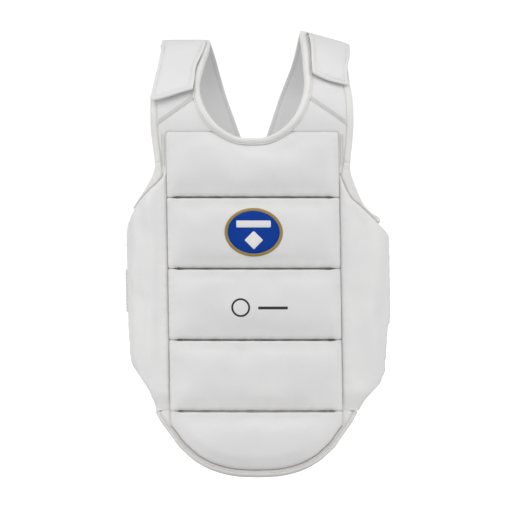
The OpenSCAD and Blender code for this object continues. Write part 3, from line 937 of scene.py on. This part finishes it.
# ---- Linings ----
def lining_depth(x, z, seams, width):
    """Height of the quilted inner face, which bulges between the channel seams"""
    to_seam = np.min([np.abs(z - s) for s in seams], axis=0)
    to_side = np.maximum(width - np.abs(x), 0)
    return 0.9 * np.exp(-to_seam / 4) - 1.6 * (1 - np.exp(-to_seam / 14)) * (1 - np.exp(-to_side / 8))


LINING_FRONT = -17.3
LINING_BACK = -20.0
arm_inner = arm_edge[arm_edge[:, 1] > STRIP_Z]
top = [(x, hinge_s(x)) for x in np.linspace(arm_edge[-1, 0], neck_edge[-1, 0], 8)]
straight_side = [(SEAM_X * 0.97, SEAMS[4]), (SEAM_X * 0.97, STRIP_Z)]
right = np.vstack([straight_side, arm_inner[1:-1], top, neck_edge[::-1][1:]])
outline = np.vstack([right, (right * [-1, 1])[::-1][1:]])
region = Region(outline, gap=5.0, rings=(1.5, 4.0))
x, z = region.p.T
thin = soft_step((z - arm_top + 28) / 24)
face = -11.3 + lining_depth(x, z, SEAMS, SEAM_X) * soft_step((450 - z) / 20) + 5.6 * thin
piece = region.solid("front_lining_knit", on_upper, -8.3 + THINNED * thin, face, lining_knit)
cut_from(outline)
attach(piece, "front", "lining", "front_lining")

tongue_outline = np.vstack([pad_arc, [(SEAM_X, SEAMS[4]), (-SEAM_X, SEAMS[4])]])
region = Region(tongue_outline * [0.985, 1] + [0, -0.3], gap=5.0, rings=(1.5, 4.0))
x, z = region.p.T
face = LINING_BACK - 0.3 + lining_depth(x, z, [SEAMS[4]], SEAM_X)
piece = region.solid("tongue_lining_knit", on_panel, LINING_FRONT, face, lining_knit)
cut_from(tongue_outline)
attach(piece, TONGUE_SEAM, "lining", "tongue_lining")

# ---- Wings ----
WING_SECTION = [
    (3.2, -13), (2.0, -12.0), (0, -11.7), (-2.0, -12.1), (-3.0, -13.6), (-3.3, -16), (-2.6, -18.9),
    (-1.0, -20.4), (1.0, -20.7), (2.8, -20.2), (3.2, -18)]
WING_PUFF = 3.0


def wing_outline(line, low, gap, end=0.0):
    """That line round a wing's free edge, closed along the side seam and the wing's lower end"""
    line = line[(line[:, 0] > WING_SEAM + gap) & (line[:, 1] > low + gap)]
    corners = [(line[-1, 0] - end, low)], [(WING_SEAM, low)]
    return line, np.vstack([[(WING_SEAM, line[0, 1] + 0.6)], line, *corners])


wing_lines = {}
for name, side in SIDES.items():
    place = on_wing(side)
    edge = np.vstack([on_edge(side, smooth(WING_TOP[side])), on_edge(side, smooth(WING_BOTTOM[side]))])
    edge = resample(edge, 3.0)
    wing_lines[side] = edge
    low = WING_BOTTOM[side][-1][1]
    pad_edge, outline = wing_outline(offset(edge, -0.8), low, 0.5, 0.3)
    region = Region(outline, gap=4.4)
    x, z = region.p.T
    to_seam = x - WING_SEAM
    to_edge = distance(region.p, pad_edge, closed=False)
    taper = soft_step((z - low) / 26)
    rounded = roll(to_edge, 8.0) * (0.95 - 0.45 * (1 - taper))
    face = -3.4 - groove(to_seam, 3.6, 1.4, 0.9, 7) - rounded - 5.2 * (1 - taper)
    folds = np.sin((x + 7 * wave(z, side, 190)) * 2 * math.pi / (38 + 6 * side) + 0.8 * side)
    folds = 1.3 * folds * soft_step(region.d / 16) * soft_step((z - low) / 60)
    folds += 0.6 * wave(z, 1.9 * side, 16) * np.exp(-to_seam / 7)
    ruffle = 0.6 + 0.9 * soft_step((170 - z) / 40)
    folds += ruffle * wave(0.6 * x - z, 2.9 * side, 15) * np.exp(-to_edge / 8)
    inner = -PAD_BACK + 5.6 * (1 - soft_step((to_edge - 6.4) / 2.0))

    def behind_wing(v, side=side):
        return np.hypot(side * v[:, 0] - WING_X, v[:, 1] - WING_Y) < WING_R - SEWN

    rise = puff(region, f"wing_{name}", place, face - 1.5, -PAD_BACK, behind_wing, 9.0)
    face = np.maximum(face + folds + WING_PUFF * rise * soft_step(region.d / PUFF_WIDTH), -10.8)
    pad = region.solid(f"wing_{name}_pad", place, face, inner, wing_leather)
    attach(pad, side_seam(name), "cover", f"wing_cover_{name}", f"wing_foam_{name}")

    path = resample(offset(edge, -3.4), 2.0)
    path = path[path[:, 1] > low + 1.2]
    path = np.vstack([path, [(path[-1, 0], low)]])
    section = [(-a, o) for a, o in WING_SECTION][::-1]
    piece = joined(f"wing_{name}_tape", [sweep(path, place, section, wobble=0.1)], tape)
    attach(piece, side_seam(name), "binding", f"wing_binding_{name}")

    _, outline = wing_outline(offset(edge, -7.0), low, 1.0)
    region = Region(outline, gap=5.5, rings=(1.5, 4.0))
    x, z = region.p.T
    bulge = -0.8 * (1 - np.exp(-region.d / 12)) * np.where(np.abs(z - BELT_Z) < 45, 0.1, 1)
    piece = region.solid(f"wing_{name}_lining_knit", place, LINING_FRONT, LINING_BACK + bulge, lining_knit)
    cut_from(outline, 1.08)
    attach(piece, side_seam(name), "lining", f"wing_lining_{name}")

    # The armhole's tape runs on behind the top of the wing
    outer = on_edge(side, smooth(TAIL[side]), -6.0)
    top = on_edge(side, smooth(WING_TOP[side]))
    top = offset(resample(top, 3.0), -1.2)
    top = top[(top[:, 1] > outer[-1, 1] - 1) & (top[:, 1] < STRIP_Z)]
    outline = np.vstack([outer, top[::-1], [(outer[0, 0] - 9.5, outer[0, 1])]])
    region = Region(outline, gap=3.0, rings=(0.7, 1.6, 2.8), edge_gap=2.0)
    dent = 1.1 * np.exp(-((region.d - 5.4) / 0.8) ** 2) * soft_step((region.p[:, 1] - 345) / 30)
    face = -7.0 - roll(region.d, 3.0) * 0.7 - dent
    face += 0.25 * wave(region.p[:, 1], side, 9)
    piece = region.solid(f"armhole_tail_{name}", place, face, -13.5, tape)
    start, end = (side * 124.0, -85, 402), (side * 138.0, -78, 402)
    attach(piece, ("front", f"wing_{name}", start, end), "binding")


# ---- Belt ----
def on_ribs(angles, radius):
    """Plan of a stretch around the wing's centre"""
    return np.array([(WING_X + radius * math.sin(a), WING_Y - radius * math.cos(a)) for a in angles])


TAB_R = WING_R - PAD_T - FLAP_OUT - WEB / 2
TAB_FROM, TAB_TO = 69, 34
tab_angles = np.radians(np.linspace(TAB_FROM, TAB_TO, 30))
rear = [(150.5, -14), (157, 2), (166, 22), (169.5, 42), (164, 66), (146, 84), (116, 95), (80, 100),
        (40, 101.9), (0, 101.9)]
tab_end_point = on_ribs([math.radians(69.4)], TAB_R)[0]
half_belt = smooth([tuple(tab_end_point)] + rear)


def reaching(side):
    """The belt's half on one side, which stands out a little more or less than the CAD's"""
    more = (BELT_REACH[side] - 1) * soft_step((half_belt[:, 1] + 26) / 40)
    return half_belt * np.stack([side * (1 + more), np.ones(len(more))], axis=1)


belt_line = resample(np.vstack([reaching(1), reaching(-1)[::-1][1:]]), 3.0)


def band_section(height, thick, ribs=17, depth=0.22):
    """Ribbed webbing, as (across, height above the belt's middle) points"""
    rows = np.linspace(-height / 2, height / 2, ribs * 4 + 1)
    swell_by = depth * np.cos(2 * math.pi * ribs * (rows / height + 0.5))
    edge = 1 - 0.55 * np.exp(-(height / 2 - np.abs(rows)) / 0.8)
    half = (thick / 2 - depth + swell_by) * edge
    outer = [(h, BELT_Z + r) for h, r in zip(half, rows)]
    return outer + [(-h, z) for h, z in outer[::-1]]


piece = joined("waist_elastic", [sweep(belt_line, in_plan, band_section(BELT_H, WEB))], elastic)
belt_length = float(np.linalg.norm(np.diff(belt_line, axis=0), axis=1).sum())
attach(piece, "harness", "elastic", "waist_belt")

for name, side in SIDES.items():
    flip = np.array([side, 1])
    band = sweep(on_ribs(tab_angles, TAB_R) * flip, in_plan, band_section(BELT_H, WEB))
    tab = joined(f"belt_elastic_tab_{name}", [band], elastic)
    length = TAB_R * math.radians(TAB_FROM - TAB_TO)
    hinge, tip = on_ribs(np.radians([TAB_FROM, TAB_FROM - 7]), TAB_R) * flip
    attach(tab, ("harness", f"tab_{name}", (*hinge, BELT_Z), (*tip, BELT_Z)), "elastic", f"belt_tab_{name}")

    def arc_patch(from_deg, to_deg, height):
        """Outline of a patch between two angles around the wing's centre"""
        lo, hi = (WING_R * math.sin(math.radians(d) - WING_TURN) for d in (from_deg, to_deg))
        return box(lo, hi, BELT_Z - height / 2, BELT_Z + height / 2)

    def straight(x, z, out, side=side):
        a = WING_TURN + np.arcsin(np.clip(x / WING_R, -1, 1))
        r = WING_R + out
        return in_plan(side * (WING_X + r * np.sin(a)), WING_Y - r * np.cos(a), z)

    region = Region(arc_patch(37, 61, BELT_H - 6), gap=3.0, rings=(1.0,))
    piece = region.solid(f"belt_hook_patch_{name}", straight, -PAD_T - 1.6, -PAD_T - 2.75, hook_plastic)
    attach(piece, f"tab_{name}", "hook_tape", f"belt_hook_{name}")

    region = Region(arc_patch(TAB_TO, TAB_FROM, BELT_H + 10), gap=3.0, rings=(1.0,))
    piece = region.solid(f"wing_loop_patch_{name}", straight, -PAD_T + 0.2, -PAD_T - 1.1, loop_pile)
    attach(piece, f"wing_{name}", "loop_tape", f"wing_loop_{name}")

# ---- Back straps ----
# How far in from the edge a row of stitches runs, on a strap and on a flap
STRAP_ROW = 4.2
FLAP_ROW = 4.3
for layer, (name, side) in enumerate(SIDES.items()):
    place, length = on_strap(side, layer)
    w = STRAP_W / 2
    region = Region(box(-w, w, 0.0, length), gap=6.0, rings=(0.7, 1.6, 3.0, 4.4, 6.0), edge_gap=4.0)
    to_side = np.minimum(w - np.abs(region.p[:, 0]), 30)
    edge_round = 1.5 * np.sqrt(np.clip(1 - (1 - np.minimum(to_side, 1.6) / 1.6) ** 2, 0.02, 1))
    dent = 0.45 * np.exp(-((to_side - STRAP_ROW) / 0.9) ** 2)
    fat = edge_round - dent + 0.25 * (1 - np.exp(-to_side / 8))
    piece = region.solid(f"crossed_strap_{name}", place, fat, -fat, strap_leather)
    attach(piece, strap_fold("harness", 1), "strap", f"back_strap_{name}")
    rows = []
    for x in (-w + STRAP_ROW, w - STRAP_ROW):
        line = np.array([(x, 2.0), (x, length - 3)])
        for out in (0.75, -1.15):
            rows.append(threads(line, place, out, pitch=4.0, length=3.1))
    for low in (length - 6, length - BELT_H + 7):
        line = np.array([(-w + 5, low), (w - 5, low)])
        rows.append(threads(line, place, 1.2, pitch=4.0, length=3.1))
    piece = joined(f"crossed_strap_stitches_{name}", rows, thread_with_painted_shade)
    attach(piece, strap_fold("harness", 1), "strap")

belt_low, belt_high = BELT_Z - BELT_H / 2, BELT_Z + BELT_H / 2
anchor = np.array([(11, belt_low), (58, belt_low), (58, belt_high), (30, belt_high)])


def behind(x, z, out):
    return in_plan(x, 105.35 + out, z)


region = Region(anchor, gap=5.0, rings=(0.8, 2.0))
piece = region.solid("strap_anchor_patch", behind, 1.6, -1.6, strap_leather)
attach(piece, "harness", "strap", "belt_anchor")

# ---- Flaps ----
LIFT = {-1: 3.2, 1: 1.0}
FLAPS = {
    "left": ([(127, 482.5), (124.5, 503), (121.5, 527), (120, 545), (119.5, 559)],
             [(73.5, 493.5), (72.5, 509), (72.5, 526), (67, 543), (62.7, 559)],
             [(127, 482.5), (124, 479.8), (114, 481.5), (102, 485), (88, 489.5), (73.5, 493.5)]),
    "right": ([(122.5, 500), (119.5, 515), (120, 531), (122, 549), (121.5, 559)],
              [(75, 515), (72.8, 529), (71.5, 545), (70, 555), (69, 559)],
              [(122.5, 500), (110.5, 502.5), (97, 506), (86, 510), (75, 515)]),
}
for name, side in SIDES.items():
    outer, inner, bottom = (along_curve(smooth(p, 5), FLAP_OUT + WEB / 2) for p in FLAPS[name])
    top = np.array([(x, hinge_s(x)) for x in np.linspace(outer[-1, 0], inner[-1, 0], 10)])
    outline = np.vstack([outer[:-1], top, inner[::-1][1:], bottom[::-1][1:-1]])
    flip = np.array([side, 1])
    region = Region(outline * flip, gap=3.6, rings=(0.6, 1.4, 2.4, 3.6, 5.0))
    p = region.p * flip
    free_edge = np.vstack([inner[::-1], bottom[::-1][1:], outer[1:]])
    to_edge = distance(p, free_edge, closed=False)
    to_bottom = distance(p, bottom, closed=False)
    edge_round = 1.9 * np.sqrt(np.clip(1 - (1 - np.minimum(to_edge, 2.4) / 2.4) ** 2, 0.01, 1))
    dent = 0.45 * np.exp(-((to_edge - FLAP_ROW) / 1.1) ** 2)
    lip = (0.9 if side < 0 else 0.1) * np.exp(-((to_bottom - 1.8) / 2.4) ** 2)
    fat = edge_round - dent - 0.35 * (1 - np.exp(-to_edge / 6)) + lip

    def lifted(points, bottom=bottom, side=side):
        """How far the flap's lower end stands off the shoulder"""
        return LIFT[side] * np.exp(-distance(points, bottom, closed=False) / 15)

    def on_flap(x, s, out, side=side):
        return on_upper(x * side, s, FLAP_OUT + WEB / 2 + out + lifted(np.stack([x, s], axis=1)))

    lift = lifted(p) + 0.7 * wave(p[:, 1], 2.0 + side, 60) * np.exp(-to_edge / 12)
    middle = FLAP_OUT + WEB / 2 + np.maximum(lift, -0.3)
    # Painted shade along the groove of the stitch row round the flap, through the crease attribute.
    crease = 0.7 * np.exp(-((to_edge - FLAP_ROW) / 1.1) ** 2)
    under = middle - np.minimum(fat, 1.5)
    piece = region.solid(f"shoulder_flap_{name}", on_upper, middle + fat, under, leather, crease)
    cut_from(outline)
    attach(piece, strap_fold(f"flap_{name}", -1), "cover", f"flap_{name}")

    line = offset(resample(free_edge, 1.5), FLAP_ROW)
    line = line[inside(line, outline) & (distance(line, free_edge, closed=False) > FLAP_ROW * 0.93)]
    row = threads(line, on_flap, 0.95, pitch=3.4, length=2.5)
    piece = joined(f"shoulder_flap_stitches_{name}", [row], thread_with_painted_shade)
    attach(piece, strap_fold(f"flap_{name}", -1), "cover")

    patch = along_curve(np.array([(84, 522), (112, 512), (110, 550), (80, 550)]), FLAP_OUT)
    region = Region(patch * flip, gap=3.0, rings=(1.0,))
    piece = region.solid(f"flap_hook_patch_{name}", on_upper, FLAP_OUT + 0.3, 2.45, hook_plastic)
    attach(piece, f"flap_{name}", "hook_tape", f"flap_hook_{name}")

# ---- Seams and stitches ----
rows = []
for z in SEAMS[1:]:
    line = np.stack([np.linspace(-104, 104, 60), np.full(60, z)], axis=1)
    rows.append(threads(line, on_panel, -9.4, pitch=3.6, length=1.9, radius=0.55))
for side in SIDES.values():
    flip = np.array([side, 1])
    rows.append(threads(offset(neck_right, -TAPE + 1.9)[:-6] * flip, on_upper, 0.75, pitch=3.0, length=2.1))
    rows.append(threads(offset(arm_right, TAPE - 1.9)[24:-6] * flip, on_upper, 0.75, pitch=3.0, length=2.1))
    diag_x = np.linspace(arm_low[-1, 0] - 2, neck_low[-1, 0] + 2, 20)
    diagonal = np.stack([diag_x, seam_on_curve(diag_x)], axis=1)
    for d in (2.4, 5.2):
        rows.append(threads((diagonal + [0, d]) * flip, on_upper, 0.75, radius=0.34))
    for x in (112.3, 115.4):
        down = np.array([(x, z) for z in np.linspace(438, 397, 12)])
        rows.append(threads(down * flip, on_upper, 0.9, radius=0.4, pitch=2.9, length=2.1))
piece = joined("front_stitches", rows, thread_with_painted_shade)
attach(piece, "front", "binding")

inner_hem = offset(hem_path, 2.2)
piece = joined("hem_stitches", [threads(inner_hem[3:-3], on_hem, -6.6)], thread_with_painted_shade)
attach(piece, TONGUE_SEAM, "binding")
for name, side in SIDES.items():
    line = offset(wing_lines[side], -1.9)
    line = line[(line[:, 0] > WING_SEAM + 3) & (line[:, 1] > SEAMS[4] + 8)]
    line = line[::-1]
    piece = joined(f"wing_{name}_stitches", [threads(line, on_wing(side), -20.6, lift=-0.35)], thread_with_painted_shade)
    attach(piece, side_seam(name), "binding")


# ---- Emblem and print, laid on the pads' covers ----
def lay_on(pad):
    """Placing of flat shapes at a height over that pad's cover"""
    faces = [list(f.vertices) for f in pad.data.polygons]
    tree = BVHTree.FromPolygons([v.co for v in pad.data.vertices], faces)

    def place(x, z, height):
        x, z, height = arrays(x, z, height)
        return on_panel(x, z, heights(tree, on_panel, x, z) + height)
    return place


CHANNEL = SEAMS[3] - SEAMS[4]
EMBLEM_Z = SEAMS[4] + 2.5 * CHANNEL + 1
PRINT_Z = SEAMS[4] + 1.5 * CHANNEL - 4
on_emblem, on_print = lay_on(pads[2]), lay_on(pads[3])


def oval(w, h, z, n=72):
    a = np.arange(n) * 2 * math.pi / n
    return np.stack([w / 2 * np.cos(a), z + h / 2 * np.sin(a)], axis=1)


def film(name, outline, place, low, high, material, node, gap=3.0):
    """Thin film printed on a cover"""
    region = Region(outline, gap=gap, rings=(0.35, 1.0), edge_gap=1.5)
    top = low + (high - low) * (1 - np.exp(-region.d / 0.25)) + 0.02
    piece = region.solid(name, place, top, low, material)
    attach(piece, "front", node if node != "printed_mark" else "print", node)
    return piece


film("emblem_field_film", oval(67, 55, EMBLEM_Z), on_emblem, -0.3, 0.35, film_blue, "emblem_field")
rim_path = oval(70.5, 58.5, EMBLEM_Z, 120)
rim_section = [(-1.75, -0.3), (-1.75, 0.35), (-1.2, 0.75), (0, 0.9), (1.2, 0.75), (1.75, 0.35), (1.75, -0.3)]
piece = joined("emblem_rim_film", [sweep(rim_path, on_emblem, rim_section, closed=True)], film_gold)
attach(piece, "front", "emblem_rim", "emblem_rim")
bar = box(-22, 22, EMBLEM_Z + 6, EMBLEM_Z + 15)
diamond = np.array([(0, EMBLEM_Z - 22), (12, EMBLEM_Z - 10), (0, EMBLEM_Z + 2), (-12, EMBLEM_Z - 10)])
for k, shape in enumerate((bar, diamond)):
    film(f"emblem_mark_film_{k + 1}", shape, on_emblem, 0.25, 0.7, film_white, "emblem_mark")
ring_path = oval(21.5, 21.5, PRINT_Z, 48) + [-18, 0]
flat_section = [(-1.2, -0.1), (-1.2, 0.12), (0, 0.16), (1.2, 0.12), (1.2, -0.1)]
piece = joined("print_ring", [sweep(ring_path, on_print, flat_section, closed=True)], film_black)
attach(piece, "front", "print", "printed_mark")
film("print_dash", box(4, 42, PRINT_Z - 2.5, PRINT_Z + 1.5), on_print, -0.1, 0.15, film_black,
     "printed_mark", gap=2.0)

# ---- Studio ----
CAMERA_Z = 0.2835
VIEW_WIDE = 0.6528
CAMERA_AWAY = 12.0
SENSOR = 36.0
camera = bpy.data.objects.new("camera", bpy.data.cameras.new("camera"))
bpy.context.scene.collection.objects.link(camera)
camera.location = (0, -CAMERA_AWAY - 0.06, CAMERA_Z)
camera.rotation_euler = (math.pi / 2, 0, 0)
camera.data.sensor_width = SENSOR
camera.data.lens = SENSOR * CAMERA_AWAY / VIEW_WIDE
camera.data.clip_end = 200
bpy.context.scene.camera = camera

floor_mesh = bpy.data.meshes.new("floor")
half_floor, floor_z = 80.0, -0.08
corners = [(i * half_floor, j * half_floor, floor_z) for i, j in ((-1, -1), (1, -1), (1, 1), (-1, 1))]
floor_mesh.from_pydata(corners, [], [(0, 1, 2, 3)])
floor = bpy.data.objects.new("floor", floor_mesh)
bpy.context.scene.collection.objects.link(floor)
m = bpy.data.materials.new("floor_paper")
t = Tree(m)
seen = t.add("LightPath", {}, "Is Camera Ray")
t.put(t.nodes["Principled BSDF"], {
    "Base Color": (0.68, 0.68, 0.68, 1), "Roughness": 0.9, "Emission Color": (1, 1, 1, 1),
    "Emission Strength": t.sum("MULTIPLY", seen, 0.6)})
floor_mesh.materials.append(m)

# Each sun's strength, the size of its disc in degrees, and its tilt and turn
SUNS = {"key": (0.63, 40, 37, -8), "fill_left": (1.03, 60, 66, -70), "fill_right": (0.97, 60, 66, 70)}
for name, (energy, angle, tilt, turn) in SUNS.items():
    sun = bpy.data.objects.new(name, bpy.data.lights.new(name, "SUN"))
    sun.data.energy = energy
    sun.data.angle = math.radians(angle)
    sun.rotation_euler = (math.radians(tilt), 0, math.radians(turn))
    bpy.context.scene.collection.objects.link(sun)

# White where the camera looks past the object, and softer on the object itself
world = bpy.data.worlds.new("studio")
bpy.context.scene.world = world
t = Tree(world)
t.nodes.clear()
soft, white = (t.add("Background", {"Color": (1, 1, 1, 1), "Strength": power}) for power in (0.53, 1.05))
pick = t.add("MixShader", {0: t.add("LightPath", {}, "Is Camera Ray"), 1: soft, 2: white})
t.put(t.nodes.new("ShaderNodeOutputWorld"), {0: pick})
bpy.context.scene.view_settings.view_transform = "Standard"
